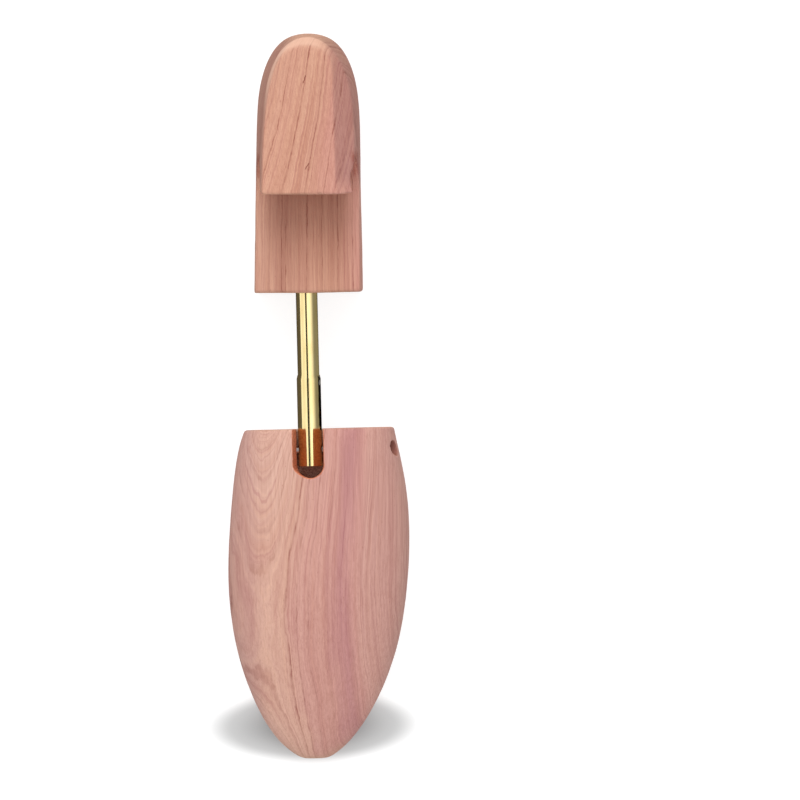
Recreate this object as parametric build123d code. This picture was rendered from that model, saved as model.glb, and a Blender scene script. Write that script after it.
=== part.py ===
from build123d import *
import os
from math import cos, radians, sin, tan

os.makedirs("parts", exist_ok=True)

# A cedar shoe tree for a left shoe, lying on its two flat soles.
# X runs from heel to toe along the tubes, Y to the outer side of the foot, Z up.
# The origin is on the sole plane, straight under the pin that the toe block turns on.
# All sizes are in millimetres.

# Clearances
RUNNING_FIT = 0.05          # radial, a pin or tube that turns or slides in a hole
SEAT_GAP = 0.1              # between two faces that bear on each other
DRIVEN_FIT = 0.02           # radial, a pin or tube driven into wood

# Tubes
AXIS_HEIGHT = 20.0          # tube axis above the soles
INNER_DIAMETER = 9.1
TUBE_WALL = 0.45
TUBE_EXPOSED = 57.0         # between the two blocks, at rest
OUTER_MOUTH_REACH = 31.5    # from the pivot pin to the outer tube's mouth
OUTER_TAIL_REACH = 6.7      # from the pivot pin to the outer tube's other end
MOUTH_BEVEL = 1.5
MOUTH_LIP = 0.12            # thickness left at the bevelled mouth
TUBE_OVERLAP = 9.5          # inner tube inside the outer one, at rest
TRAVEL_SPARE = 0.5          # left between inner tube and lower seat at full travel

# Guide stud in the inner tube, and the slot in the outer tube that it runs in
STUD_DIAMETER = 2.2
STUD_FROM_MOUTH = 3.2       # stud axis from the outer tube's mouth, at rest
STUD_HEAD_DIAMETER = 3.2
STUD_HEAD_THICKNESS = 0.35
SLOT_SIDE_CLEARANCE = 0.1
SLOT_ANGLE = 71.0           # from straight up, towards the outer side

# Pins
PIN_DIAMETER = 2.8
PIN_HEAD_DIAMETER = 5.6
PIN_HEAD_THICKNESS = 1.2
PIN_WALL_GRIP = 9.0         # wood between the pin's head and the tube
PIN_TIP_GRIP = 10.0         # pin driven into the wood past the tube
COUNTERBORE_DIAMETER = 6.3
HEEL_PIN_DEPTH = 25.0       # from the heel block's front face

# Spring and its two seats
SPRING_SIDE_CLEARANCE = 0.2
SPRING_WIRE = 0.9
SPRING_TURNS = 20
SEAT_THICKNESS = 1.0
SEAT_SIDE_CLEARANCE = 0.12

# Heel block
HEEL_LENGTH = 109.0
HEEL_HALF_WIDTH = 22.8      # at the front face
HEEL_BACK_HALF_WIDTH = 21.7 # where the round back begins
HEEL_STRAIGHT = 66.0        # front face to where the round back begins
HEEL_OFFSET = 0.8           # block centre from the tube axis, at the front face
HEEL_SKEW = 1.26            # degrees, block centre line to tube axis
HEEL_FRONT_HEIGHT = 32.0
HEEL_SADDLE_HEIGHT = 29.0   # lowest place of the block's top, under the lip
KNOB_LIP_HEIGHT = 52.0
KNOB_BACK_HEIGHT = 36.0
KNOB_LIP_REACH = 41.0       # front face to the lip
KNOB_LIP_THICKNESS = 7.0
KNOB_LIP_LEAN = 0.8         # the lip's face leans back this much
COVE_DEPTH = 15.5           # finger cove behind the lip
KNOB_HALF_WIDTH = 18.5      # at the lip
KNOB_BACK_RAKE = 6.0        # the back leans forward this much over the knob's height
HEEL_ROUNDNESS = 2.5        # plan of the round back: 2 is an ellipse, more is fuller
KNOB_ROUNDNESS = 1.75       # plan of the knob: under 2 is a pointed arch
HEEL_SOLE_INSET = 0.8
HEEL_WIDEST_HEIGHT = 14.0
SOCKET_DEPTH = 36.0         # hole in the heel block for the inner tube
FRONT_SPARE = 10.0          # stock ahead of and behind the block, cut away

# Toe block: rear face behind the pivot pin, then cross-sections along the block.
TOE_REAR_REACH = 9.0
TOE_LENGTH = 138.6
TOE_HALF_WIDTH = 38.0
TOE_HEIGHT = 34.0
# (share of the length, centre in mm, share of the half width, share of the height)
TOE_SECTIONS = (
    (0.0, 3.8, 0.826, 0.97),
    (0.16, 3.2, 0.947, 1.0),
    (0.375, 2.3, 1.0, 0.955),
    (0.58, 1.0, 0.947, 0.84),
    (0.76, 0.0, 0.776, 0.66),
    (0.885, -0.9, 0.556, 0.485),
    (0.957, -1.3, 0.354, 0.338),
    (1.0, -1.4, 0.14, 0.206),
)
TOE_SOLE_SHARE = 0.93       # width on the sole, as a share of the widest
SOLE_SPARE = 2.0            # stock under the sole, cut away
TOE_NOSE_RADIUS = 2.8
EDGE_RADIUS = 1.2
KNOB_EDGE_RADIUS = 0.8

# Notch in the toe block that the outer tube swings in
NOTCH_SIDE_GAP = 0.65       # between the tube and each wall
NOTCH_END_GAP = 5.1         # past the tube's end
NOTCH_FLOOR_GAP = 0.3       # under the tube, at rest
NOTCH_TAIL_GAP = 0.6        # round the tube's swinging end
FOLD_ANGLE = 40.0           # the tube comes to rest on the notch's ramp at this angle

# Worked out from the sizes above
OUTER_BORE = INNER_DIAMETER + 2 * RUNNING_FIT
OUTER_DIAMETER = OUTER_BORE + 2 * TUBE_WALL
OUTER_RADIUS = OUTER_DIAMETER / 2
INNER_BORE = INNER_DIAMETER - 2 * TUBE_WALL
NOTCH_WIDTH = OUTER_DIAMETER + 2 * NOTCH_SIDE_GAP
NOTCH_REACH = OUTER_TAIL_REACH + NOTCH_END_GAP
TOE_REAR = -TOE_REAR_REACH
HEEL_FRONT = TOE_REAR - TUBE_EXPOSED
OUTER_MOUTH = -OUTER_MOUTH_REACH
INNER_LOWER_END = OUTER_MOUTH + TUBE_OVERLAP
INNER_UPPER_END = HEEL_FRONT - SOCKET_DEPTH
STUD_X = OUTER_MOUTH + STUD_FROM_MOUTH
HEEL_PIN_X = HEEL_FRONT - HEEL_PIN_DEPTH
PIN_HEAD_REACH = OUTER_RADIUS + PIN_WALL_GRIP
PIN_TIP_REACH = OUTER_RADIUS + PIN_TIP_GRIP
LOWER_SEAT_TOP = -(PIN_DIAMETER / 2 + SEAT_GAP + SEAT_THICKNESS)
TRAVEL = LOWER_SEAT_TOP - TRAVEL_SPARE - INNER_LOWER_END
UPPER_SEAT_BOTTOM = HEEL_PIN_X + PIN_DIAMETER / 2 + RUNNING_FIT + SEAT_THICKNESS
STUD_HEAD_SEAT = (INNER_BORE ** 2 - STUD_HEAD_DIAMETER ** 2) ** 0.5 / 2 - DRIVEN_FIT
SPRING_DIAMETER = 2 * (STUD_HEAD_SEAT - STUD_HEAD_THICKNESS - SPRING_SIDE_CLEARANCE)


def rod(start, end, diameter):
    """A round bar along X at the tube axis."""
    place = Plane(origin=(start, 0, AXIS_HEIGHT), z_dir=(1, 0, 0))
    return extrude(place * Circle(diameter / 2), amount=end - start)


def cross_rod(x, start, end, diameter):
    """A round bar along Y, through the tube axis."""
    place = Plane(origin=(x, start, AXIS_HEIGHT), x_dir=(1, 0, 0), z_dir=(0, 1, 0))
    return extrude(place * Circle(diameter / 2), amount=end - start)


def stud_plane(x, radius):
    """A plane facing out of the tube, square to the guide slot."""
    outward = Vector(0, sin(radians(SLOT_ANGLE)), cos(radians(SLOT_ANGLE)))
    middle = Vector(x, 0, AXIS_HEIGHT) + outward * radius
    return Plane(origin=middle, x_dir=(1, 0, 0), z_dir=outward)


def pin_hole(x, outward, flank):
    """Hole for a headed pin, and the open counterbore that it is driven in through.
    The counterbore opens on the +Y flank where outward is 1, and on -Y where it is -1."""
    low, high = sorted((-outward * PIN_TIP_REACH, outward * (PIN_HEAD_REACH + 1)))
    hole = cross_rod(x, low, high, PIN_DIAMETER + 2 * DRIVEN_FIT)
    low, high = sorted((outward * PIN_HEAD_REACH, outward * flank))
    return hole + cross_rod(x, low, high, COUNTERBORE_DIAMETER)


# ---------------------------------------------------------------- heel block

def arch_outline(height, reach, straight, front_half, back_half, roundness):
    """Plan of the heel block at one height: near-parallel sides and a round back.
    It starts a little ahead of the front face, which is cut square later."""
    side = [(-FRONT_SPARE, front_half), (0.45 * straight, 0.5 * (front_half + back_half))]
    for step in range(4):
        turn = radians(22.5 * step)
        along = straight + (reach - straight) * sin(turn) ** (2 / roundness)
        side.append((along, back_half * cos(turn) ** (2 / roundness)))
    points = [Vector(-along, half, height) for along, half in side]
    points.append(Vector(-reach, 0, height))
    points += [Vector(-along, -half, height) for along, half in reversed(side)]
    back = Spline(*points, tangents=[(-1, 0, 0), (1, 0, 0)])
    return make_face(Curve() + [back, Line(points[-1], points[0])])


def heel_side_profile():
    """Side view of the heel block: flat sole, sloping knob, finger cove, saddle."""
    far = -HEEL_LENGTH - FRONT_SPARE
    slope = (KNOB_LIP_HEIGHT - KNOB_BACK_HEIGHT) / (HEEL_LENGTH - KNOB_LIP_REACH)
    lip = -KNOB_LIP_REACH
    far_height = KNOB_LIP_HEIGHT + slope * (far - lip)
    ceiling = KNOB_LIP_HEIGHT - KNOB_LIP_THICKNESS
    room = ceiling - HEEL_SADDLE_HEIGHT
    cove_back = lip - COVE_DEPTH
    cove = Spline(
        (lip - KNOB_LIP_LEAN, 0, ceiling),
        (cove_back + 0.3 * COVE_DEPTH, 0, ceiling - 0.14 * room),
        (cove_back, 0, HEEL_SADDLE_HEIGHT + 0.56 * room),
        (cove_back + 0.4 * COVE_DEPTH, 0, HEEL_SADDLE_HEIGHT + 0.14 * room),
        (cove_back + 1.25 * COVE_DEPTH, 0, HEEL_SADDLE_HEIGHT),
        (0, 0, HEEL_FRONT_HEIGHT),
        tangents=[(-1, 0, 0.05), (1, 0, 0.03)],
    )
    corners = [(0, HEEL_FRONT_HEIGHT), (0, 0), (far, 0), (far, far_height), (lip, KNOB_LIP_HEIGHT)]
    corners.append((lip - KNOB_LIP_LEAN, ceiling))
    outline = Polyline(*[Vector(x, 0, z) for x, z in corners])
    return make_face(Curve() + [outline, cove])


def make_heel_block():
    base = arch_outline(
        0, HEEL_LENGTH - HEEL_SOLE_INSET, HEEL_STRAIGHT,
        HEEL_HALF_WIDTH - HEEL_SOLE_INSET, HEEL_BACK_HALF_WIDTH - HEEL_SOLE_INSET, HEEL_ROUNDNESS
    )
    widest = arch_outline(
        HEEL_WIDEST_HEIGHT, HEEL_LENGTH, HEEL_STRAIGHT,
        HEEL_HALF_WIDTH, HEEL_BACK_HALF_WIDTH, HEEL_ROUNDNESS
    )
    top = arch_outline(
        KNOB_LIP_HEIGHT + 1, HEEL_LENGTH - KNOB_BACK_RAKE, KNOB_LIP_REACH,
        KNOB_HALF_WIDTH, KNOB_HALF_WIDTH, KNOB_ROUNDNESS
    )
    body = loft([base.face(), widest.face(), top.face()])
    body &= extrude(heel_side_profile(), amount=HEEL_LENGTH, both=True)
    knob_top = body.faces().sort_by(Axis.Z)[-1]
    body = fillet(knob_top.edges(), KNOB_EDGE_RADIUS)
    place = Pos(HEEL_FRONT, HEEL_OFFSET, 0) * Rot(0, 0, -HEEL_SKEW)
    body = place * body
    body -= Pos(HEEL_FRONT + FRONT_SPARE, 0, 0) * Box(2 * FRONT_SPARE, HEEL_LENGTH, HEEL_LENGTH)
    front = body.faces().sort_by(Axis.X)[-1]
    body = fillet(front.edges(), EDGE_RADIUS)
    body -= rod(INNER_UPPER_END, HEEL_FRONT + 1, INNER_DIAMETER + 2 * DRIVEN_FIT)
    return body - pin_hole(HEEL_PIN_X, -1, 2 * HEEL_HALF_WIDTH)


# ----------------------------------------------------------------- toe block

def toe_section(along, centre, width_share, height_share):
    """Cross-section of the toe block: full flanks, rounded crown, stock under the sole."""
    x = TOE_REAR + along * TOE_LENGTH
    half = width_share * TOE_HALF_WIDTH
    height = height_share * TOE_HEIGHT
    right = ((TOE_SOLE_SHARE, 0.0), (1.0, 0.36), (0.93, 0.66), (0.72, 0.86), (0.38, 0.97))
    points = [Vector(x, centre + share * half, level * height) for share, level in right]
    points.append(Vector(x, centre, height))
    points += [Vector(x, centre - share * half, level * height) for share, level in reversed(right)]
    crown = Spline(*points)
    down = Vector(0, 0, -SOLE_SPARE)
    foot = Polyline(points[-1], points[-1] + down, points[0] + down, points[0])
    return make_face(Curve() + [crown, foot])


def make_notch():
    """Space for the outer tube: a round-ended slot whose floor is level at the mouth,
    then ramps down at the fold angle, then runs level under the swinging tail."""
    start = TOE_REAR - NOTCH_WIDTH
    over = 2 * TOE_HEIGHT
    swing = (OUTER_RADIUS ** 2 + OUTER_TAIL_REACH ** 2) ** 0.5 + NOTCH_TAIL_GAP
    shallow = OUTER_RADIUS + NOTCH_FLOOR_GAP
    ramp_drop = shallow / cos(radians(FOLD_ANGLE))
    ramp_slope = tan(radians(FOLD_ANGLE))
    ramp_start = (shallow - ramp_drop) / ramp_slope
    ramp_end = (swing - ramp_drop) / ramp_slope
    floor = Polyline(
        (start, 0, over),
        (start, 0, AXIS_HEIGHT - shallow),
        (ramp_start, 0, AXIS_HEIGHT - shallow),
        (ramp_end, 0, AXIS_HEIGHT - swing),
        (NOTCH_REACH + 1, 0, AXIS_HEIGHT - swing),
        (NOTCH_REACH + 1, 0, over),
        close=True,
    )
    length = NOTCH_REACH - start
    plan = Pos(NOTCH_REACH - length / 2, 0, 0) * SlotOverall(length, NOTCH_WIDTH)
    return extrude(make_face(floor), amount=NOTCH_WIDTH, both=True) & extrude(plan, amount=over)


def make_toe_block():
    sections = [toe_section(*row).face() for row in TOE_SECTIONS]
    body = loft(sections)
    body -= Pos(0, 0, -SOLE_SPARE) * Box(4 * TOE_LENGTH, 4 * TOE_HALF_WIDTH, 2 * SOLE_SPARE)
    nose = body.faces().sort_by(Axis.X)[-1]
    body = fillet(nose.edges(), TOE_NOSE_RADIUS)
    rear = body.faces().sort_by(Axis.X)[0]
    body = fillet(rear.edges(), EDGE_RADIUS)
    return body - make_notch() - pin_hole(0, 1, 2 * TOE_HALF_WIDTH)


# ------------------------------------------------------------ tubes and pins

def make_outer_tube():
    """Tube that turns on the pivot pin, with a bevelled mouth and a guide slot."""
    body = rod(OUTER_MOUTH, OUTER_TAIL_REACH, OUTER_DIAMETER)
    mouth_edge = body.faces().sort_by(Axis.X)[0].edges()
    body = chamfer(mouth_edge, MOUTH_BEVEL, TUBE_WALL - MOUTH_LIP)
    body -= rod(OUTER_MOUTH - 1, OUTER_TAIL_REACH + 1, OUTER_BORE)
    body -= cross_rod(0, -OUTER_DIAMETER, OUTER_DIAMETER, PIN_DIAMETER + 2 * RUNNING_FIT)
    slot_width = STUD_DIAMETER + 2 * SLOT_SIDE_CLEARANCE
    slot_length = TRAVEL + slot_width
    slot = stud_plane(STUD_X + TRAVEL / 2, 0) * SlotOverall(slot_length, slot_width)
    return body - extrude(slot, amount=OUTER_DIAMETER)


def make_inner_tube():
    """Tube fixed in the heel block, which slides in the outer tube."""
    body = rod(INNER_UPPER_END, INNER_LOWER_END, INNER_DIAMETER)
    body -= rod(INNER_UPPER_END - 1, INNER_LOWER_END + 1, INNER_BORE)
    body -= cross_rod(HEEL_PIN_X, -OUTER_DIAMETER, OUTER_DIAMETER, PIN_DIAMETER + 2 * RUNNING_FIT)
    stud_hole = stud_plane(STUD_X, 0) * Circle(STUD_DIAMETER / 2 + DRIVEN_FIT)
    return body - extrude(stud_hole, amount=OUTER_DIAMETER)


def make_guide_stud():
    """Rivet whose head is inside the inner tube and whose shank ends in the slot."""
    seat = stud_plane(STUD_X, STUD_HEAD_SEAT)
    shank = extrude(seat * Circle(STUD_DIAMETER / 2), amount=OUTER_RADIUS - SEAT_GAP - STUD_HEAD_SEAT)
    head = extrude(seat * Circle(STUD_HEAD_DIAMETER / 2), amount=-STUD_HEAD_THICKNESS)
    return shank + head


def make_pin(x, outward):
    """Headed pin along Y: its head lies at the bottom of the counterbore."""
    low, high = sorted((-outward * (PIN_TIP_REACH - SEAT_GAP), outward * PIN_HEAD_REACH))
    shank = cross_rod(x, low, high, PIN_DIAMETER)
    low, high = sorted((outward * PIN_HEAD_REACH, outward * (PIN_HEAD_REACH + PIN_HEAD_THICKNESS)))
    return shank + cross_rod(x, low, high, PIN_HEAD_DIAMETER)


def make_spring():
    """Compression spring between the two seats, inside both tubes."""
    low = LOWER_SEAT_TOP - SPRING_WIRE / 2 - SEAT_GAP
    high = UPPER_SEAT_BOTTOM + SPRING_WIRE / 2 + SEAT_GAP
    length = low - high
    coil = Helix(length / SPRING_TURNS, length, (SPRING_DIAMETER - SPRING_WIRE) / 2)
    wire = sweep(Plane(origin=coil @ 0, z_dir=coil % 0) * Circle(SPRING_WIRE / 2), path=coil)
    return Pos(high, 0, AXIS_HEIGHT) * Rot(0, 90, 0) * wire


def make_seat(x, diameter):
    """Disc that a spring end bears on."""
    return rod(x, x + SEAT_THICKNESS, diameter - 2 * SEAT_SIDE_CLEARANCE)


parts = {
    "toe_block": make_toe_block(),
    "heel_block": make_heel_block(),
    "outer_tube": make_outer_tube(),
    "inner_tube": make_inner_tube(),
    "guide_stud": make_guide_stud(),
    "pivot_pin": make_pin(0, 1),
    "heel_pin": make_pin(HEEL_PIN_X, -1),
    "spring": make_spring(),
    "lower_spring_seat": make_seat(LOWER_SEAT_TOP, OUTER_BORE),
    "upper_spring_seat": make_seat(UPPER_SEAT_BOTTOM - SEAT_THICKNESS, INNER_BORE),
}
for name, solid in parts.items():
    export_step(solid, f"parts/{name}.step")
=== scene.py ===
"""A cedar shoe tree for a left shoe, on a white studio table, seen from above.

The frame is the CAD's: X runs from heel to toe along the tubes, Y to the outer side of the foot,
Z up from the soles, with the origin under the pivot pin. Blender's own lengths are in metres. The
named sizes below, and every length inside a material, are in millimetres.
"""
import math

import bmesh
import bpy
import numpy as np
from mathutils import Matrix, Vector, noise


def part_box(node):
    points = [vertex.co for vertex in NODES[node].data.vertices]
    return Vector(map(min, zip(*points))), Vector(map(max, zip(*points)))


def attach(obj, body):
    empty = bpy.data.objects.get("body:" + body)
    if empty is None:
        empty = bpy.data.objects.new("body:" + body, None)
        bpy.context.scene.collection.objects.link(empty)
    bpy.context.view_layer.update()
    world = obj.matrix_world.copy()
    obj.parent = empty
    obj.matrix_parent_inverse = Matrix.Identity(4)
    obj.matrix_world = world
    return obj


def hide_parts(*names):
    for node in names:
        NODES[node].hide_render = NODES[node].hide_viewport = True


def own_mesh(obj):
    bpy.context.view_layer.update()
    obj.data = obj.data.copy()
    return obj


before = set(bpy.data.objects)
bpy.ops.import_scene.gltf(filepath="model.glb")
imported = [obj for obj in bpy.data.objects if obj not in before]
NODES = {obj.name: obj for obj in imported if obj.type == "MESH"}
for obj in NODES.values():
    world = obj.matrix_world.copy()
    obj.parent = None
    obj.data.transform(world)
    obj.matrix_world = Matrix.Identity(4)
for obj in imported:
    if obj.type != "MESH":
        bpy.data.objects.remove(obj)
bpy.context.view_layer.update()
MM = 0.001

# Places read from the CAD nodes
OUTER_LOW, OUTER_HIGH = (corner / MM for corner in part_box("outer_tube"))
_, HEEL_HIGH = (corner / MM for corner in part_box("heel_block"))
TOE_LOW, TOE_HIGH = (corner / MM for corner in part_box("toe_block"))
SPRING_LOW, SPRING_HIGH = (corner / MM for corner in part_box("spring"))
AXIS_Z = (OUTER_LOW.z + OUTER_HIGH.z) / 2

# Wooden blocks
VOXEL = 0.45                # size of a mesh face on the blocks
RELAX_SHARE = 0.5           # how far one round of smoothing moves a point to its neighbours' middle
SOFTEN_ROUNDS = 4           # rounds that take the voxels' steps off a whole block
SANDING_WAVE = 0.10         # height of the soft waves that hand sanding leaves
SANDING_SLOW = 0.045        # slow waves in one mm
SANDING_FINE = 0.16         # fine waves in one mm
SANDING_FINE_SHARE = 0.4    # height of the fine waves beside the slow ones
HEEL_SEED = 3.0
TOE_SEED = 11.0
COUNTERBORE_RADIUS = 3.15
# painted shade inside the counterbores
BORE_PAINTED_SHADE = (0.62, 0.46, 0.42)

# Heel block
HEEL_PIN_X = -91.0
LIP_X = -107.0              # front of the knob's lip
LIP_Z = 52.0
FACET_SLOPE = 0.235         # the knob's top falls this much per mm towards its back
OUTER_CREASE_Y = 17.4       # where the knob's flat top turns down, at the lip
INNER_CREASE_Y = -17.0
BACK_X = -157.0             # where the crease starts to go round the back
BACK_HALF_WIDTH = 13.2
BACK_REACH = 12.2
BACK_SHIFT = 2.2            # the back's point lies this much to the outer side
BACK_STEPS = 9
OUTER_SLOPE = 0.88          # the outer bevel falls this much per mm
BEVEL_SLOPE = 0.85          # and the rest this much
CREST_DEPTH = (12.0, 6.0)   # below the knob's top: extra smoothing starts, and is full
CREST_ROUNDS = 10
BACK_ROUNDS = 14
COVE_X = (-124.5, -109.5)   # the finger cove under the knob
COVE_Z = (30.5, 42.5)
SADDLE_Y = (-15.5, 18.0)    # the middle of the flat saddle in front of the knob, where shade is painted
SADDLE_Z = (25, 38)
RIM_X = (-136, -158)        # the pale rim at the knob's back starts, and is full
RIM_Y = (16, 4)

# Toe block
NOTCH_HALF_WIDTH = 5.7
NOTCH_END_X = 11.8
NOTCH_LOWEST_Z = 10.0
NOTCH_FLARE = 1.3           # the notch's inner wall leans out this much at the top
FLARE_X = (NOTCH_END_X, NOTCH_END_X - 5)    # the lean starts, and is full
FLARE_Y = (1.0, -4.0)
FLARE_Z = (AXIS_Z, TOE_HIGH.z - 0.5)
INNER_FLANK_Y = (-19, -28)  # the cooler colour of the inner flank starts, and is full
TIP_X = (121.0, 127.0)      # extra smoothing of the tip starts, and is full
TIP_ROUNDS = 40

# Small chips: middle, size along each axis, depth
HEEL_CHIPS = [
    ((-124.0, 21.5, 37.0), (3.2, 2.2, 2.5), 0.8),
    ((-121.0, 20.0, 33.0), (2.0, 2.0, 2.0), 0.5),
    ((-124.0, -19.8, 37.0), (3.2, 2.2, 2.5), 0.7),
    ((-118.0, 3.0, 49.5), (1.6, 0.8, 1.5), 0.35),
    ((-107.2, 7.4, 51.5), (1.2, 0.9, 1.2), 0.45),
]
TOE_CHIPS = [
    ((-1.0, -5.9, 33.0), (6.0, 0.5, 0.8), 0.25),
    ((5.0, -5.9, 33.3), (3.0, 0.5, 0.8), 0.25),
]

# Short dark nicks in the knob's top: x, y, sideways lean, length
NICKS = [(-155.5, 1.8, -0.3, 3.2), (-119.0, 2.2, -0.6, 2.6)]

# Tubes. Angles are in degrees from straight up to the outer side
SLOT_ANGLE = 71.0           # of the guide slot
SLOT_SHADE_OUTER = (52, 100)    # from one side to the other of the black band of painted shade by the guide slot, on each tube
SLOT_SHADE_INNER = (SLOT_ANGLE - 20, SLOT_ANGLE + 20)

# Metal colours
BRASS_BRIGHT = (0.88, 0.72, 0.37, 1)
BRASS_DULL = (0.80, 0.63, 0.29, 1)
# the black of the painted shade beside the guide slot
SLOT_SHADE_COLOUR = (0.045, 0.03, 0.018, 1)
STEEL_BRIGHT = (0.66, 0.66, 0.67, 1)
STEEL_DULL = (0.48, 0.47, 0.46, 1)

# Spring
WIRE_RADIUS = 0.45
SPRING_TURNS = 22
CLOSED_TURNS = 1.5          # wound tight, at each end
CLOSED_PITCH = 2.1 * WIRE_RADIUS
SPRING_STEPS = 24           # mesh rings in one turn
SPRING_SIDES = 8

# Camera: looks almost straight down, a little from the outer side
VIEW_TILT = math.radians(1.2)
VIEW_ROLL = math.radians(1.4)
VIEW_WIDTH = 336 * MM
VIEW_CENTRE = Vector((-20.1, 38.1, 18.0)) * MM
LENS = 1500.0
SENSOR = 36.0
VIEW_END = 100.0            # metres

# Light
TENT_LEVEL = 1.0
TENT_IN_BRASS = 1.6
KEY_LEVEL = 1.3
KEY_FROM = (-0.78, -0.05, 0.62)
KEY_SPREAD = 45.0           # degrees across

# Brightness of the tent by its angle from straight up, in degrees to the outer side
TENT_FOR_BRASS = [
    (-90, 0.06), (-80, 0.10), (-74, 0.80), (-69, 0.95), (-62, 0.72), (-48, 0.70), (-32, 0.78),
    (-21, 1.0), (-16, 0.03), (3, 0.03), (8, 1.0), (24, 0.98), (35, 0.85), (47, 0.68), (57, 0.42),
    (70, 0.20), (90, 0.18),
]
TENT_FOR_THE_REST = [
    (-90, 0.18), (-62, 0.50), (-30, 1.0), (0, 1.15), (30, 1.0), (62, 0.50), (90, 0.18),
]

# Table
FLOOR_HALF = 4.0            # metres
FLOOR_DROP = 0.05
FLOOR_GLOW = 0.78
FLOOR_WHITE = (0.36, 0.36, 0.36, 1)
FLOOR_BOUNCE = (0.95, 0.95, 0.95, 1)
# what brass sees in the table: a painted reflection of black flags that aren't there
PAINTED_FLAG_REFLECTION_INNER = (0.11, 0.10, 0.08, 1)
PAINTED_FLAG_REFLECTION_OUTER = (0.26, 0.26, 0.22, 1)
SHADE_DEPTH = (0.44, 0.25)  # of the soft painted shade on the table round the toe's tip: wide part, middle
SHADE_CENTRE = (116.0, -2.2)
SHADE_HALF = (14.5, 43.0)


def paint(red, green, blue):
    """A colour as a screen shows it, 0 to 255, turned into the renderer's linear colour."""
    def linear(part):
        part /= 255
        return part / 12.92 if part <= 0.04045 else ((part + 0.055) / 1.055) ** 2.4
    return (linear(red), linear(green), linear(blue), 1)


# The growth rings of each block. The pith is the middle of the tree, a line nearly along X: its
# Y and Z where X is 0, and how far it leans in Y and Z per mm of X. Wander is how far slow, finer
# and finest waves push the rings. Lines are (ring radius, depth), tones (ring radius, colour).
TOE_WOOD = {
    "pith": (-17.0, 24.0),
    "lean": (-0.01, -0.2),
    "wander": (2.2, 0.6, 0.25),
    "line_width": 0.5,
    "lines": [
        (6.5, 0.3), (9.5, 0.4), (13.0, 0.3), (15.4, 0.45), (18.3, 0.9), (20.6, 0.7), (24.2, 0.55),
        (29.0, 0.35), (37.5, 0.3),
    ],
    "tones": [
        (2.0, paint(212, 168, 151)), (9.0, paint(218, 176, 159)), (17.5, paint(215, 170, 152)),
        (22.0, paint(208, 158, 146)), (28.5, paint(207, 156, 144)), (34.5, paint(191, 137, 134)),
        (39.0, paint(206, 155, 145)), (42.0, paint(206, 159, 147)), (50.0, paint(199, 152, 141)),
        (60.0, paint(195, 150, 138)),
    ],
}
HEEL_WOOD = {
    "pith": (-42.0, 10.0),
    "lean": (0.0, 0.0),
    "wander": (0.8, 0.4, 0.3),
    "line_width": 0.42,
    "lines": [
        (34.5, 0.4), (38.8, 0.9), (40.3, 0.95), (48.0, 0.9), (53.6, 1.0), (59.8, 0.95),
        (65.7, 0.8), (69.0, 0.5), (74.0, 0.4),
    ],
    "tones": [
        (28.0, paint(208, 160, 138)), (36.0, paint(200, 150, 129)), (42.0, paint(201, 151, 129)),
        (48.0, paint(207, 156, 133)), (54.0, paint(207, 157, 133)), (60.0, paint(202, 151, 129)),
        (66.0, paint(203, 148, 132)), (72.0, paint(201, 147, 134)), (80.0, paint(200, 150, 136)),
    ],
}


# ------------------------------------------------------------------ small tools

def new_object(name, mesh):
    piece = bpy.data.objects.new(name, mesh)
    bpy.context.collection.objects.link(piece)
    return piece


def points_of(mesh):
    flat = np.empty(3 * len(mesh.vertices))
    mesh.vertices.foreach_get("co", flat)
    return flat.reshape(-1, 3)


def normals_of(mesh):
    flat = np.empty(3 * len(mesh.vertices), dtype=np.float32)
    mesh.vertex_normals.foreach_get("vector", flat)
    return flat.reshape(-1, 3).astype(float)


def set_points(mesh, points):
    mesh.vertices.foreach_set("co", np.ascontiguousarray(points, dtype=np.float32).ravel())
    mesh.update()


def shade_smooth(mesh):
    mesh.polygons.foreach_set("use_smooth", [True] * len(mesh.polygons))
    mesh.update()


def smoothstep(value, low, high):
    """0 at low, 1 at high, smooth between; low may be above high."""
    t = np.clip((value - low) / (high - low), 0, 1)
    return t * t * (3 - 2 * t)


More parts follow.
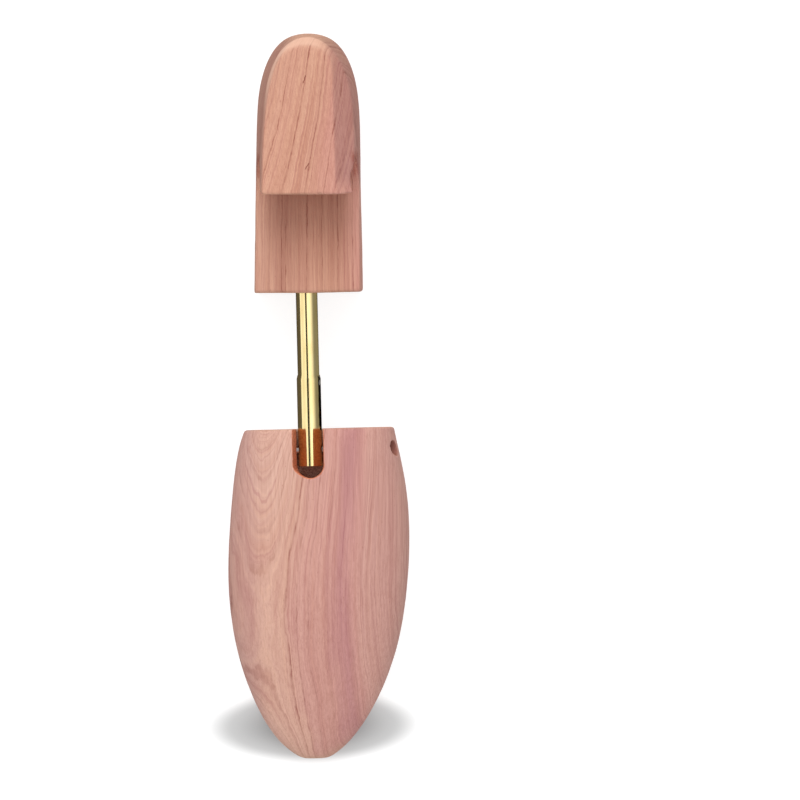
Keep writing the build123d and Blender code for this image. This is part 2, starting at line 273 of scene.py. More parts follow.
class Graph:
    """Short ways to add nodes to one material or world."""

    def __init__(self, tree):
        self.tree = tree

    def add(self, kind, **settings):
        node = self.tree.nodes.new(kind)
        for key, value in settings.items():
            setattr(node, key, value)
        return node

    def feed(self, source, socket):
        """Links another node's output into a socket, or sets the socket to a plain value."""
        if isinstance(source, bpy.types.NodeSocket):
            self.tree.links.new(source, socket)
        else:
            socket.default_value = source

    def math(self, operation, a, b=0.0, clamp=False):
        node = self.add("ShaderNodeMath", operation=operation, use_clamp=clamp)
        self.feed(a, node.inputs[0])
        self.feed(b, node.inputs[1])
        return node.outputs[0]

    def total(self, *terms):
        result = terms[0]
        for term in terms[1:]:
            result = self.math("ADD", result, term)
        return result

    def product(self, *terms):
        result = terms[0]
        for term in terms[1:]:
            result = self.math("MULTIPLY", result, term)
        return result

    def distance(self, a, b):
        """Length of the straight line across two distances at right angles."""
        return self.math("SQRT", self.total(self.product(a, a), self.product(b, b)))

    def stretch(self, vector, factors):
        node = self.add("ShaderNodeVectorMath", operation="MULTIPLY")
        self.feed(vector, node.inputs[0])
        node.inputs[1].default_value = factors
        return node.outputs[0]

    def noise(self, vector, detail=2.0, roughness=0.5, distortion=0.0):
        """Noise from about 0 to 1, with features about 1 across in the given vector."""
        node = self.add("ShaderNodeTexNoise")
        self.feed(vector, node.inputs["Vector"])
        node.inputs["Scale"].default_value = 1.0
        node.inputs["Detail"].default_value = detail
        node.inputs["Roughness"].default_value = roughness
        node.inputs["Distortion"].default_value = distortion
        return node.outputs["Fac"]

    def grain(self, point, factors, detail=2.0, roughness=0.5, distortion=0.0):
        """Noise whose features are 1 / factor mm across, with a factor for each axis."""
        return self.noise(self.stretch(point, factors), detail, roughness, distortion)

    def spread(self, value, low, high):
        """0 at low, 1 at high, smooth between; low may be above high."""
        node = self.add("ShaderNodeMapRange", interpolation_type="SMOOTHSTEP")
        self.feed(value, node.inputs["Value"])
        node.inputs["From Min"].default_value = low
        node.inputs["From Max"].default_value = high
        return node.outputs["Result"]

    def within(self, value, low, high, soft):
        """1 where value is between low and high, with soft edges."""
        above = self.spread(value, low - soft, low + soft)
        return self.product(above, self.spread(value, high + soft, high - soft))

    def swing(self, value, amount):
        """Noise from 0 to 1 turned into a value from -amount to amount."""
        return self.product(self.math("SUBTRACT", value, 0.5), 2 * amount)

    def ramp(self, value, low, high, stops):
        """Colour ramp over low to high. Stops are (place, colour or grey level)."""
        place = self.math("DIVIDE", self.math("SUBTRACT", value, low), high - low, clamp=True)
        node = self.add("ShaderNodeValToRGB")
        self.feed(place, node.inputs[0])
        elements = node.color_ramp.elements
        while len(elements) < len(stops):
            elements.new(1.0)
        ordered = sorted(stops)
        for element, (at, _) in zip(elements, ordered):
            element.position = (at - low) / (high - low)
        for element, (_, colour) in zip(elements, ordered):
            element.color = colour if isinstance(colour, tuple) else (colour, colour, colour, 1)
        return node.outputs["Color"]

    def along_rings(self, radius, point, along, across):
        """A vector that changes with the ring radius, and slowly along the grain."""
        parts = self.add("ShaderNodeSeparateXYZ")
        self.feed(point, parts.inputs[0])
        joined = self.add("ShaderNodeCombineXYZ")
        self.feed(self.product(parts.outputs["X"], along), joined.inputs[0])
        self.feed(self.product(radius, across), joined.inputs[1])
        return joined.outputs[0]

    def mix(self, share, a, b, blend="MIX"):
        node = self.add("ShaderNodeMix", data_type="RGBA", blend_type=blend)
        self.feed(share, node.inputs[0])
        self.feed(a, node.inputs[6])
        self.feed(b, node.inputs[7])
        return node.outputs[2]

    def tint(self, share, colour, red, green, blue):
        """The colour, times the three factors where share is 1."""
        return self.mix(share, colour, (red, green, blue, 1), "MULTIPLY")


def new_material(name):
    material = bpy.data.materials.new(name)
    material.use_nodes = True
    return material, Graph(material.node_tree), material.node_tree.nodes["Principled BSDF"]


def add_bump(graph, shader, height, strength, depth):
    bump = graph.add("ShaderNodeBump")
    bump.inputs["Strength"].default_value = strength
    bump.inputs["Distance"].default_value = depth * MM
    graph.feed(height, bump.inputs["Height"])
    graph.feed(bump.outputs["Normal"], shader.inputs["Normal"])


def dress(piece, material):
    piece.data.materials.clear()
    piece.data.materials.append(material)


def place_mm(graph):
    """The point on the piece in millimetres, its x, y and z, and those of the surface's normal."""
    coords = graph.add("ShaderNodeTexCoord")
    point = graph.stretch(coords.outputs["Object"], (1000, 1000, 1000))
    parts = graph.add("ShaderNodeSeparateXYZ")
    graph.feed(point, parts.inputs[0])
    facing = graph.add("ShaderNodeSeparateXYZ")
    graph.feed(coords.outputs["Normal"], facing.inputs[0])
    return point, parts.outputs, facing.outputs


# ---------------------------------------------------------------- wood material

def ring_radius(graph, point, axes, wood):
    """Distance from the tree's pith, with the growth's wander."""
    pith, lean, wander = wood["pith"], wood["lean"], wood["wander"]
    across = graph.total(axes["Y"], graph.product(axes["X"], -lean[0]), -pith[0])
    above = graph.total(axes["Z"], graph.product(axes["X"], -lean[1]), -pith[1])
    slow = graph.grain(point, (0.013, 0.05, 0.05), 1.0)
    finer = graph.grain(point, (0.06, 0.22, 0.22), 2.0)
    finest = graph.grain(point, (0.22, 0.5, 0.5), 3.0, 0.6)
    return graph.total(
        graph.distance(across, above), graph.swing(slow, wander[0]), graph.swing(finer, wander[1]),
        graph.swing(finest, wander[2])
    )


def ring_colour(graph, point, radius, tones):
    """Broad tones, soft bands of early and late wood, and fine streaks of single rings."""
    drift = graph.swing(graph.grain(point, (0.008, 0.12, 0.12), 3.0), 5.0)
    colour = graph.ramp(graph.total(radius, drift), tones[0][0], tones[-1][0], tones)
    bands = graph.noise(graph.along_rings(radius, point, 0.006, 0.55), 3.0, 0.6)
    colour = graph.tint(graph.spread(bands, 0.38, 0.80), colour, 0.86, 0.77, 0.76)
    rings = graph.noise(graph.along_rings(radius, point, 0.010, 2.3), 3.0, 0.6)
    colour = graph.tint(graph.spread(rings, 0.47, 0.72), colour, 0.85, 0.74, 0.77)
    return graph.tint(graph.spread(rings, 0.50, 0.28), colour, 1.06, 1.07, 1.03)


def line_stops(lines, width):
    """Ramp stops for growth lines: a slow rise to the dark late wood, then a sharp end."""
    stops = []
    for radius, depth in lines:
        stops += [(radius - width, 0.0), (radius, depth), (radius + 0.35 * width, 0.0)]
    return stops


def growth_lines(graph, point, radius, lines, width):
    """Strength of the clear growth lines, which fade in and out along the grain."""
    lowest, highest = lines[0][0] - 2 * width, lines[-1][0] + 2 * width
    stops = [(lowest, 0.0), (highest, 0.0)] + line_stops(lines, width)
    marks = graph.ramp(radius, lowest, highest, stops)
    fade = graph.spread(graph.grain(point, (0.035, 0.10, 0.10), 2.0), 0.28, 0.55)
    dash = graph.spread(graph.grain(point, (0.13, 0.35, 0.35), 3.0, 0.6), 0.42, 0.66)
    return graph.product(
        marks, graph.total(0.35, graph.product(fade, 0.65)),
        graph.total(0.45, graph.product(dash, 0.75))
    )


def fibres(graph, colour, point):
    """Fibres along the grain, at two scales, and short pores. Gives the colour and the three masks."""
    coarse = graph.grain(point, (0.012, 1.3, 1.3), 4.0, 0.65)
    hair = graph.grain(point, (0.07, 4.5, 4.5), 3.0, 0.65)
    pores = graph.grain(point, (0.5, 1.6, 1.6), 2.0, 0.7)
    colour = graph.tint(graph.spread(coarse, 0.44, 0.72), colour, 0.90, 0.84, 0.83)
    colour = graph.tint(graph.spread(coarse, 0.52, 0.28), colour, 1.05, 1.06, 1.05)
    colour = graph.tint(graph.spread(hair, 0.45, 0.80), colour, 0.86, 0.80, 0.79)
    colour = graph.tint(graph.spread(pores, 0.66, 0.80), colour, 0.74, 0.60, 0.58)
    return colour, coarse, hair, pores


def end_grain(graph, colour, point, facing):
    """Duller colour and tiny cells on faces square to the fibres."""
    end = graph.spread(graph.math("ABSOLUTE", facing["X"]), 0.55, 0.97)
    cells = graph.grain(point, (2.0, 2.6, 2.6), 3.0, 0.7)
    colour = graph.mix(graph.product(end, 0.45), colour, paint(198, 158, 132))
    pits = graph.product(end, graph.spread(cells, 0.50, 0.70))
    return graph.tint(pits, colour, 0.80, 0.70, 0.66)


def cedar(name, wood, add_marks):
    """Bare sanded red cedar. add_marks(graph, colour, point, axes, facing) adds what only this block
    has, and gives the new colour and a mask of its rougher places."""
    material, graph, shader = new_material(name)
    point, axes, facing = place_mm(graph)
    radius = ring_radius(graph, point, axes, wood)
    colour = ring_colour(graph, point, radius, wood["tones"])
    lines = growth_lines(graph, point, radius, wood["lines"], wood["line_width"])
    colour = graph.tint(lines, colour, 0.46, 0.24, 0.22)
    colour, coarse, hair, pores = fibres(graph, colour, point)
    colour = end_grain(graph, colour, point, facing)
    colour, rougher = add_marks(graph, colour, point, axes, facing)
    graph.feed(colour, shader.inputs["Base Color"])

    rough = graph.total(0.56, graph.product(coarse, 0.14), graph.product(rougher, 0.15))
    graph.feed(rough, shader.inputs["Roughness"])
    shader.inputs["Specular IOR Level"].default_value = 0.32
    height = graph.total(
        graph.product(coarse, 0.5), graph.product(hair, 0.35),
        graph.product(lines, 0.4), graph.product(pores, -0.25)
    )
    add_bump(graph, shader, height, 0.35, 0.12)
    return material


def counterbore(graph, axes, x, y_shallow, y_deep):
    """1 inside the counterbore that crosses the tubes' axis at x, from y_shallow to past y_deep."""
    along = graph.total(axes["X"], -x)
    up = graph.total(axes["Z"], -AXIS_Z)
    from_axis = graph.distance(along, up)
    bore = graph.spread(from_axis, COUNTERBORE_RADIUS + 0.35, COUNTERBORE_RADIUS + 0.05)
    return graph.product(bore, graph.spread(axes["Y"], y_shallow, y_deep))


def notch_mask(graph, point, axes):
    """1 on the walls and the floor of the toe block's round-ended notch."""
    ragged = graph.swing(graph.grain(point, (0.5, 0.8, 0.8), 3.0, 0.7), 0.5)
    past = graph.math("MAXIMUM", graph.total(axes["X"], NOTCH_HALF_WIDTH - NOTCH_END_X), 0.0)
    flare = graph.product(
        graph.spread(axes["Z"], *FLARE_Z), graph.spread(axes["Y"], *FLARE_Y),
        graph.spread(axes["X"], *FLARE_X), NOTCH_FLARE
    )
    out = graph.total(
        graph.distance(past, axes["Y"]), graph.product(ragged, 0.5), graph.product(flare, -1.0)
    )
    inside = graph.spread(out, NOTCH_HALF_WIDTH + 0.5, NOTCH_HALF_WIDTH + 0.2)
    return graph.product(inside, graph.spread(axes["Z"], NOTCH_LOWEST_Z, NOTCH_LOWEST_Z + 0.6))


def toe_marks(graph, colour, point, axes, facing):
    """The cooler inner flank, the notch with its darker orange walls and its floor painted pale as
    painted light against the shade down there, and the counterbore of the toe block with painted shade
    inside.
    """
    colour = graph.tint(graph.spread(axes["Y"], *INNER_FLANK_Y), colour, 0.87, 0.84, 0.90)
    notch = notch_mask(graph, point, axes)
    saw_arcs = graph.grain(point, (1.4, 1.4, 0.6), 4.0, 0.7, 1.2)
    wall = graph.mix(graph.spread(saw_arcs, 0.35, 0.7), paint(220, 140, 106), paint(176, 96, 66))
    # the notch's floor is painted pale: painted light against the shade down there
    floor = graph.mix(
        graph.spread(saw_arcs, 0.35, 0.65), paint(250, 214, 196), paint(190, 140, 122)
    )
    deep = graph.spread(axes["Z"], 24.0, 16.0)
    colour = graph.mix(notch, colour, graph.mix(deep, wall, floor))
    # painted shade inside the counterbore, which is also rougher
    bore = counterbore(graph, axes, 0.0, 10, 12)
    return graph.tint(bore, colour, *BORE_PAINTED_SHADE), graph.math("MAXIMUM", notch, bore)


def cove_torn_grain_and_shade_mask(graph, point, axes):
    """1 in ragged patches of the finger cove, painted redder and darker: partly torn grain, partly
    painted shade under the knob.
    """
    cove = graph.product(
        graph.within(axes["X"], *COVE_X, 1.5), graph.within(axes["Z"], *COVE_Z, 0.8)
    )
    ragged = graph.grain(point, (0.35, 0.9, 0.9), 4.0, 0.7)
    return graph.product(cove, graph.spread(ragged, 0.25, 0.6))


def saddle_painted_shade_mask(graph, axes, facing):
    """1 where painted shade darkens the flat saddle in front of the knob, but not at its sides."""
    from_knob = graph.spread(axes["X"], LIP_X - 11, LIP_X - 3)
    to_front = graph.spread(axes["X"], HEEL_HIGH.x + 8, HEEL_HIGH.x - 30)
    middle = graph.within(axes["Y"], *SADDLE_Y, 4.0)
    low = graph.within(axes["Z"], *SADDLE_Z, 2.0)
    return graph.product(from_knob, to_front, middle, low, graph.spread(facing["Z"], 0.4, 0.8))


def nick_mask(graph, axes, facing, below, crooked, nick):
    """1 in one short nick across the knob's top."""
    x, y, lean, length = nick
    ahead = graph.total(axes["X"], -x)
    aside = graph.total(axes["Y"], -y, graph.product(ahead, -lean), crooked)
    return graph.product(
        graph.within(ahead, -length / 2, length / 2, 0.4), graph.within(aside, -0.22, 0.22, 0.16),
        graph.spread(facing["Z"], 0.3, 0.6), graph.spread(below, 3.0, 1.0)
    )


def heel_marks(graph, colour, point, axes, facing):
    """What the saw and sanding left on the heel block, and painted shade: in the finger cove, on the
    knob's flanks, on the saddle in front of the knob and inside its counterbore.
    """
    # the cove under the knob: torn grain, and painted shade
    colour = graph.tint(cove_torn_grain_and_shade_mask(graph, point, axes), colour, 0.76, 0.56, 0.52)
    # painted shade: the knob's sides are darker where they face sideways
    flank = graph.product(
        graph.spread(graph.math("ABSOLUTE", facing["Y"]), 0.25, 0.62),
        graph.spread(axes["X"], LIP_X - 1, LIP_X - 9)
    )
    colour = graph.tint(flank, colour, 0.80, 0.78, 0.82)
    # painted shade on the saddle in front of the knob
    colour = graph.tint(saddle_painted_shade_mask(graph, axes, facing), colour, 0.80, 0.72, 0.70)

    # depth below the plane of the knob's top, for the paler rim at its back and for the nicks
    plane = graph.total(graph.product(axes["X"], FACET_SLOPE), LIP_Z - FACET_SLOPE * LIP_X)
    below = graph.math("SUBTRACT", plane, axes["Z"])
    rim = graph.product(
        graph.within(below, 0.5, 3.2, 0.6), graph.spread(axes["X"], *RIM_X),
        graph.spread(axes["Y"], *RIM_Y)
    )
    colour = graph.mix(graph.product(rim, 0.6), colour, paint(232, 190, 166))
    crooked = graph.swing(graph.grain(point, (0.9, 0.4, 0.4), 2.0), 0.45)
    for nick in NICKS:
        cut = nick_mask(graph, axes, facing, below, crooked, nick)
        colour = graph.tint(cut, colour, 0.42, 0.24, 0.22)

    # painted shade inside the counterbore, which is also rougher
    bore = counterbore(graph, axes, HEEL_PIN_X, -10, -12)
    return graph.tint(bore, colour, *BORE_PAINTED_SHADE), bore


# --------------------------------------------------------------- wooden blocks

def even_copy(name, node, carve=None):
    """A fine even mesh of a CAD block, carved first if need be."""
    piece = new_object(name, NODES[node].data.copy())
    if carve:
        carve(piece.data)
    even = piece.modifiers.new("even", "REMESH")
    even.mode = "VOXEL"
    even.voxel_size = VOXEL * MM
    graph = bpy.context.evaluated_depsgraph_get()
    mesh = bpy.data.meshes.new_from_object(piece.evaluated_get(graph))
    piece.modifiers.clear()
    piece.data = mesh
    mesh.name = name
    shade_smooth(mesh)
    return piece


def relax(mesh, share, rounds):
    """Moves each point towards the middle of its neighbours, by its own share of the way."""
    points = points_of(mesh)
    count = len(points)
    ends = np.empty(2 * len(mesh.edges), dtype=np.int32)
    mesh.edges.foreach_get("vertices", ends)
    one, other = ends.reshape(-1, 2).T
    degree = np.bincount(one, minlength=count) + np.bincount(other, minlength=count)
    for _ in range(rounds):
        middle = np.stack([
            np.bincount(one, weights=points[other, k], minlength=count)
            + np.bincount(other, weights=points[one, k], minlength=count)
            for k in range(3)
        ], axis=1) / degree[:, None]
        points += share[:, None] * (middle - points)
    set_points(mesh, points)


def hand_sanded(mesh, seed):
    """Soft waves about a tenth of a millimetre high."""
    points, normals = points_of(mesh), normals_of(mesh)
    shift = Vector((seed, 0, 0))
    waves = np.array([
        noise.noise(Vector(p) / MM * SANDING_SLOW + shift)
        + SANDING_FINE_SHARE * noise.noise(Vector(p) / MM * SANDING_FINE + shift)
        for p in points
    ])
    set_points(mesh, points + normals * (waves * SANDING_WAVE * MM)[:, None])


def dent(mesh, centre, size, depth):
    """Presses a small ragged chip into the surface. All in millimetres; size is per axis."""
    points, normals = points_of(mesh), normals_of(mesh)
    offset = (points / MM - np.array(centre)) / np.array(size)
    far = np.sqrt((offset ** 2).sum(axis=1))
    near = np.nonzero(far < 1.4)[0]
    for index in near:
        ragged = 1 + 0.5 * noise.noise(Vector(points[index]) / MM * 1.7)
        press = float(smoothstep(far[index] * ragged, 1.0, 0.2))
        points[index] -= normals[index] * depth * press * MM
    set_points(mesh, points)


def facet_height(x):
    """Height of the knob's sloping top."""
    return LIP_Z + FACET_SLOPE * (x - LIP_X)


def knob_crease():
    """Plan of the line where the knob's flat top turns down: two sides and a round back."""
    back = []
    for step in range(BACK_STEPS + 1):
        turn = math.pi * step / BACK_STEPS
        across = BACK_HALF_WIDTH * math.cos(turn) + BACK_SHIFT * math.sin(turn)
        back.append((BACK_X - BACK_REACH * math.sin(turn), across))
    outer_front = (LIP_X + 3, OUTER_CREASE_Y)
    inner_side = [(LIP_X - 23, INNER_CREASE_Y + 0.4), (LIP_X + 3, INNER_CREASE_Y)]
    return [outer_front] + back + inner_side


def bevel_plane(start, end, slope):
    """A plane through one stretch of the crease that falls outward: a point on it, and its normal."""
    low = Vector((*start, facet_height(start[0])))
    along = Vector((*end, facet_height(end[0]))) - low
    outward = Vector((along.y, -along.x, 0)).normalized()
    if outward.dot(Vector((*start, 0)) - Vector((BACK_X, 0, 0))) < 0:
        outward.negate()
    down = outward - Vector((0, 0, slope))
    normal = along.cross(down).normalized()
    if normal.z < 0:
        normal.negate()
    return low * MM, normal


def bevel_knob(mesh):
    """Cuts the knob's two long edges and its back down to sloping planes, one for each stretch."""
    shape = bmesh.new()
    shape.from_mesh(mesh)
    bmesh.ops.remove_doubles(shape, verts=shape.verts, dist=0.001 * MM)
    crease = knob_crease()
    for start, end in zip(crease, crease[1:]):
        slope = OUTER_SLOPE if start == crease[0] else BEVEL_SLOPE
        point, normal = bevel_plane(start, end, slope)
        cut = bmesh.ops.bisect_plane(
            shape, geom=shape.verts[:] + shape.edges[:] + shape.faces[:],
            plane_co=point, plane_no=normal, clear_outer=True
        )
        rim = [piece for piece in cut["geom_cut"] if isinstance(piece, bmesh.types.BMEdge)]
        bmesh.ops.triangle_fill(shape, use_beauty=True, edges=rim)
    shape.to_mesh(mesh)
    shape.free()


def make_heel():
    piece = even_copy("heel_wood", "heel_block", bevel_knob)
    mesh = piece.data
    relax(mesh, np.full(len(mesh.vertices), RELAX_SHARE), SOFTEN_ROUNDS)
    x, _, z = (points_of(mesh) / MM).T
    crest = smoothstep(facet_height(x) - z, *CREST_DEPTH)
    behind_lip = smoothstep(x, LIP_X - 0.6, LIP_X - 3.0)
    round_back = smoothstep(x, LIP_X - 35, LIP_X - 55)
    relax(mesh, RELAX_SHARE * crest * behind_lip, CREST_ROUNDS)
    relax(mesh, RELAX_SHARE * crest * round_back, BACK_ROUNDS)
    hand_sanded(mesh, HEEL_SEED)
    for centre, size, depth in HEEL_CHIPS:
        dent(mesh, centre, size, depth)
    return piece


def flare_notch(mesh):
    """Leans the notch's inner wall out towards its top, with the saw's small wobble."""
    points = points_of(mesh) / MM
    x, y, z = points.T
    wobble = np.array([0.25 * noise.noise(Vector((a * 0.35, 7.0, c * 0.1))) for a, c in zip(x, z)])
    share = smoothstep(z, *FLARE_Z) * smoothstep(y, -13.0, -NOTCH_HALF_WIDTH)
    share = share * smoothstep(y, *FLARE_Y) * smoothstep(x, *FLARE_X)
    points[:, 1] -= share * (NOTCH_FLARE + wobble)
    set_points(mesh, points * MM)


def make_toe():
    piece = even_copy("toe_wood", "toe_block")
    mesh = piece.data
    relax(mesh, np.full(len(mesh.vertices), RELAX_SHARE), SOFTEN_ROUNDS)
    flare_notch(mesh)
    x = points_of(mesh)[:, 0] / MM
    relax(mesh, RELAX_SHARE * smoothstep(x, *TIP_X), TIP_ROUNDS)
    hand_sanded(mesh, TOE_SEED)
    for centre, size, depth in TOE_CHIPS:
        dent(mesh, centre, size, depth)
    return piece


def add_wood():
    toe, heel = make_toe(), make_heel()
    dress(toe, cedar("cedar_toe", TOE_WOOD, toe_marks))
    dress(heel, cedar("cedar_heel", HEEL_WOOD, heel_marks))
    for piece, body, node in ((toe, "toe", "toe_block"), (heel, "heel", "heel_block")):
        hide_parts(node)
        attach(piece, body)


# ------------------------------------------------------------------ metal parts

def slot_shade_mask(graph, point, axes, angles):
    """1 in the black band of painted shade beside a tube's guide slot, between the two angles."""
    up = graph.total(axes["Z"], -AXIS_Z)
    angle = graph.product(graph.math("ARCTAN2", axes["Y"], up), 180 / math.pi)
    band_wobble = graph.swing(graph.grain(point, (0.3, 0.8, 0.8), 3.0, 0.6), 4.0)
    return graph.product(
        graph.within(graph.total(angle, band_wobble), *angles, 2.0),
        graph.within(axes["X"], OUTER_LOW.x + 0.5, TOE_LOW.x - 1.0, 0.5)
    )


def brass(name, slot_shade_angles):
    """Bright brass plate over rolled tube: faint lines along it, a little tarnish, and a black band of
    painted shade beside the guide slot.
    """
    material, graph, shader = new_material(name)
    point, axes, _ = place_mm(graph)
    drawn = graph.grain(point, (0.02, 2.5, 2.5), 3.0, 0.6)
    tarnish = graph.grain(point, (0.10, 0.35, 0.35), 3.0, 0.6)
    colour = graph.mix(graph.spread(tarnish, 0.3, 0.75), BRASS_BRIGHT, BRASS_DULL)
    colour = graph.tint(graph.spread(drawn, 0.5, 0.8), colour, 0.92, 0.89, 0.84)
    # painted shade: a black band standing for the dark gap of the guide slot
    slot_shade = slot_shade_mask(graph, point, axes, slot_shade_angles)
    colour = graph.mix(slot_shade, colour, SLOT_SHADE_COLOUR)
    graph.feed(colour, shader.inputs["Base Color"])
    shader.inputs["Metallic"].default_value = 1.0
    rough = graph.total(0.06, graph.product(tarnish, 0.08), graph.product(drawn, 0.04))
    graph.feed(rough, shader.inputs["Roughness"])
    add_bump(graph, shader, drawn, 0.06, 0.02)
    return material


def steel():
    """Plain drawn steel, with fine scratches and dull patches."""
    material, graph, shader = new_material("steel")
    point, _, _ = place_mm(graph)
    patches = graph.grain(point, (0.6, 0.6, 0.6), 3.0, 0.6)
    scratches = graph.grain(point, (6.0, 0.8, 6.0), 3.0, 0.7)
    colour = graph.mix(graph.spread(patches, 0.3, 0.7), STEEL_BRIGHT, STEEL_DULL)
    graph.feed(colour, shader.inputs["Base Color"])
    shader.inputs["Metallic"].default_value = 1.0
    rough = graph.total(0.2, graph.product(scratches, 0.15), graph.product(patches, 0.1))
    graph.feed(rough, shader.inputs["Roughness"])
    add_bump(graph, shader, scratches, 0.15, 0.02)
    return material


def wire_ring(centre, outward):
    """The points of one mesh ring round the spring's wire, in metres."""
    points = []
    for side in range(SPRING_SIDES):
        round_wire = 2 * math.pi * side / SPRING_SIDES
        offset = outward * math.cos(round_wire) + Vector((math.sin(round_wire), 0, 0))
        points.append((centre + offset * WIRE_RADIUS) * MM)
    return points


def make_spring():
    """Round wire, wound tight for the end turns and open between them."""
    coil_radius = (SPRING_HIGH.z - SPRING_LOW.z) / 2 - WIRE_RADIUS
    start, end = SPRING_LOW.x + WIRE_RADIUS, SPRING_HIGH.x - WIRE_RADIUS
    open_length = end - start - 2 * CLOSED_TURNS * CLOSED_PITCH
    open_pitch = open_length / (SPRING_TURNS - 2 * CLOSED_TURNS)
    points, faces = [], []
    rings = SPRING_TURNS * SPRING_STEPS
    for ring in range(rings + 1):
        turns = ring / SPRING_STEPS
        closed = min(turns, CLOSED_TURNS) + max(0, turns - (SPRING_TURNS - CLOSED_TURNS))
        x = start + closed * CLOSED_PITCH + (turns - closed) * open_pitch
        turn = 2 * math.pi * turns
        outward = Vector((0, math.cos(turn), math.sin(turn)))
        points += wire_ring(Vector((x, 0, AXIS_Z)) + outward * coil_radius, outward)
    for ring in range(rings):
        for side in range(SPRING_SIDES):
            a = ring * SPRING_SIDES + side
            b = ring * SPRING_SIDES + (side + 1) % SPRING_SIDES
            faces.append((a, b, b + SPRING_SIDES, a + SPRING_SIDES))
    faces.append(tuple(range(SPRING_SIDES)))
    faces.append(tuple(reversed(range(rings * SPRING_SIDES, (rings + 1) * SPRING_SIDES))))
    mesh = bpy.data.meshes.new("spring_wire")
    mesh.from_pydata(points, [], faces)
    shade_smooth(mesh)
    return new_object("spring_wire", mesh)


def add_metal():
    plain = steel()
    dress(NODES["outer_tube"], brass("brass_outer", SLOT_SHADE_OUTER))
    dress(NODES["inner_tube"], brass("brass_inner", SLOT_SHADE_INNER))
    for node in ("guide_stud", "pivot_pin", "heel_pin", "lower_spring_seat", "upper_spring_seat"):
        dress(NODES[node], plain)
    spring = make_spring()
    dress(spring, plain)
    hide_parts("spring")
    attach(spring, "socket")
    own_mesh(spring)


# ------------------------------------------------------------- floor and lights

def table_brightness_with_painted_shade(graph, axes):
    """1 on the bare table, less in the soft painted shade round the toe's tip."""
    along = graph.math("DIVIDE", graph.total(axes["X"], -SHADE_CENTRE[0]), SHADE_HALF[0])
    across = graph.math("DIVIDE", graph.total(axes["Y"], -SHADE_CENTRE[1]), SHADE_HALF[1])
    far = graph.distance(along, across)
    wide, middle = SHADE_DEPTH
    shade = graph.total(
        graph.product(graph.spread(far, 1.15, 0.78), wide),
        graph.product(graph.spread(far, 0.95, 0.25), middle)
    )
    return graph.math("SUBTRACT", 1.0, shade)


def white_table():
    """White that glows a little, as a lit sheet does, with painted shade round the toe's tip. Brass
    sees it dark, a painted reflection as if black flags stood low round the tree, and wood sees it
    plain white."""
    material, graph, shader = new_material("floor_white")
    _, axes, _ = place_mm(graph)
    ray = graph.add("ShaderNodeLightPath")
    light = table_brightness_with_painted_shade(graph, axes)
    white = graph.mix(light, (0, 0, 0, 1), FLOOR_WHITE)
    seen = graph.mix(ray.outputs["Is Camera Ray"], FLOOR_BOUNCE, white)
    painted_flag_reflection = graph.mix(graph.spread(axes["Y"], -5, 5), PAINTED_FLAG_REFLECTION_INNER, PAINTED_FLAG_REFLECTION_OUTER)
    colour = graph.mix(ray.outputs["Is Glossy Ray"], seen, painted_flag_reflection)
    graph.feed(colour, shader.inputs["Base Color"])
    shader.inputs["Roughness"].default_value = 0.9
    shader.inputs["Specular IOR Level"].default_value = 0.0
    shader.inputs["Emission Color"].default_value = (1, 1, 1, 1)
    glow = graph.product(light, ray.outputs["Is Camera Ray"], FLOOR_GLOW)
    graph.feed(glow, shader.inputs["Emission Strength"])
    return material


def make_floor():
    """A wide table just below the soles."""
    mesh = bpy.data.meshes.new("floor")
    half = FLOOR_HALF
    corners = [(-half, -half, 0), (half, -half, 0), (half, half, 0), (-half, half, 0)]
    mesh.from_pydata(corners, [], [(0, 1, 2, 3)])
    floor = new_object("floor", mesh)
    floor.location.z = -FLOOR_DROP * MM
    dress(floor, white_table())


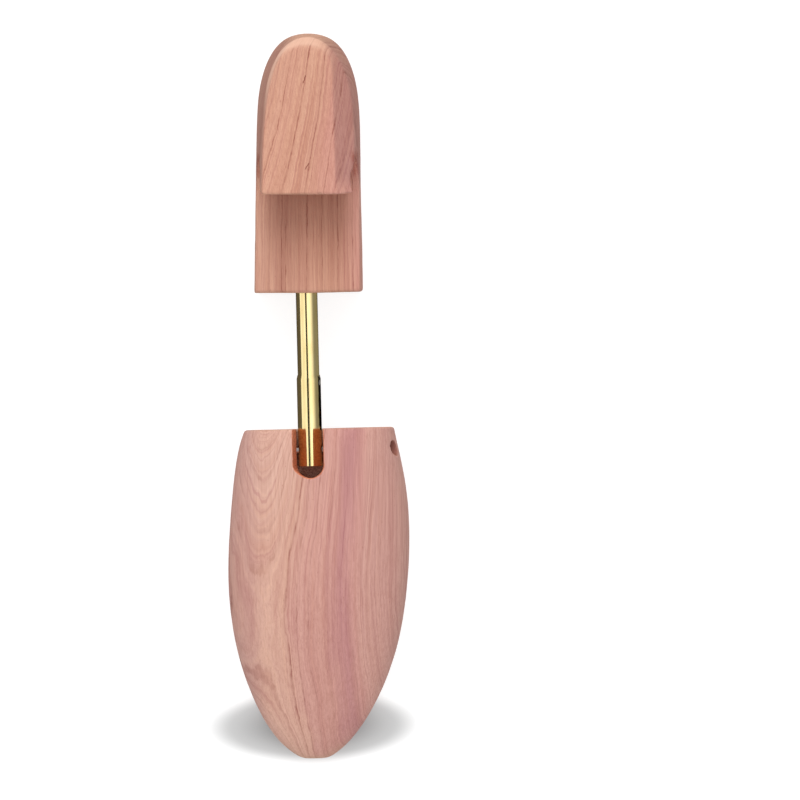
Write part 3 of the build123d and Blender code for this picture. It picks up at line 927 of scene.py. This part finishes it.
def make_world():
    """A white tent, dimmer low at its sides. Brass mirrors it with a dark slot over the tubes, where
    the camera looks in."""
    world = bpy.data.worlds.new("tent")
    bpy.context.scene.world = world
    world.use_nodes = True
    graph = Graph(world.node_tree)
    coords = graph.add("ShaderNodeTexCoord")
    parts = graph.add("ShaderNodeSeparateXYZ")
    graph.feed(coords.outputs["Generated"], parts.inputs[0])
    sideways = graph.math("ARCTAN2", parts.outputs["Y"], parts.outputs["Z"])
    degrees = graph.product(sideways, 180 / math.pi)
    for_brass = graph.ramp(degrees, -90, 90, TENT_FOR_BRASS)
    for_the_rest = graph.ramp(degrees, -90, 90, TENT_FOR_THE_REST)
    ray = graph.add("ShaderNodeLightPath")
    glossy = ray.outputs["Is Glossy Ray"]
    level = graph.total(TENT_LEVEL, graph.product(glossy, TENT_IN_BRASS - TENT_LEVEL))
    back = world.node_tree.nodes["Background"]
    graph.feed(graph.mix(glossy, for_the_rest, for_brass), back.inputs["Color"])
    graph.feed(level, back.inputs["Strength"])


def make_key():
    """A broad soft light from the heel's side, which the brass doesn't mirror."""
    light = bpy.data.lights.new("key", "SUN")
    light.energy = KEY_LEVEL
    light.angle = math.radians(KEY_SPREAD)
    lamp = bpy.data.objects.new("key", light)
    bpy.context.collection.objects.link(lamp)
    lamp.visible_glossy = False
    lamp.rotation_mode = "QUATERNION"
    lamp.rotation_quaternion = Vector(KEY_FROM).to_track_quat("Z", "Y")


def make_camera():
    data = bpy.data.cameras.new("camera")
    data.lens = LENS
    data.sensor_width = SENSOR
    data.clip_end = VIEW_END
    camera = bpy.data.objects.new("camera", data)
    bpy.context.collection.objects.link(camera)
    down = Vector((math.cos(VIEW_ROLL), -math.sin(VIEW_ROLL), 0))
    right = Vector((math.sin(VIEW_ROLL), math.cos(VIEW_ROLL), 0))
    back = right * math.sin(VIEW_TILT) + Vector((0, 0, math.cos(VIEW_TILT)))
    across = (-down).cross(back)
    distance = VIEW_WIDTH * LENS / SENSOR
    turn = Matrix((across, -down, back)).transposed()
    camera.matrix_world = Matrix.Translation(VIEW_CENTRE + back * distance) @ turn.to_4x4()
    bpy.context.scene.camera = camera


make_camera()
add_wood()
add_metal()
make_floor()
make_world()
make_key()
bpy.context.scene.view_settings.view_transform = "Standard"
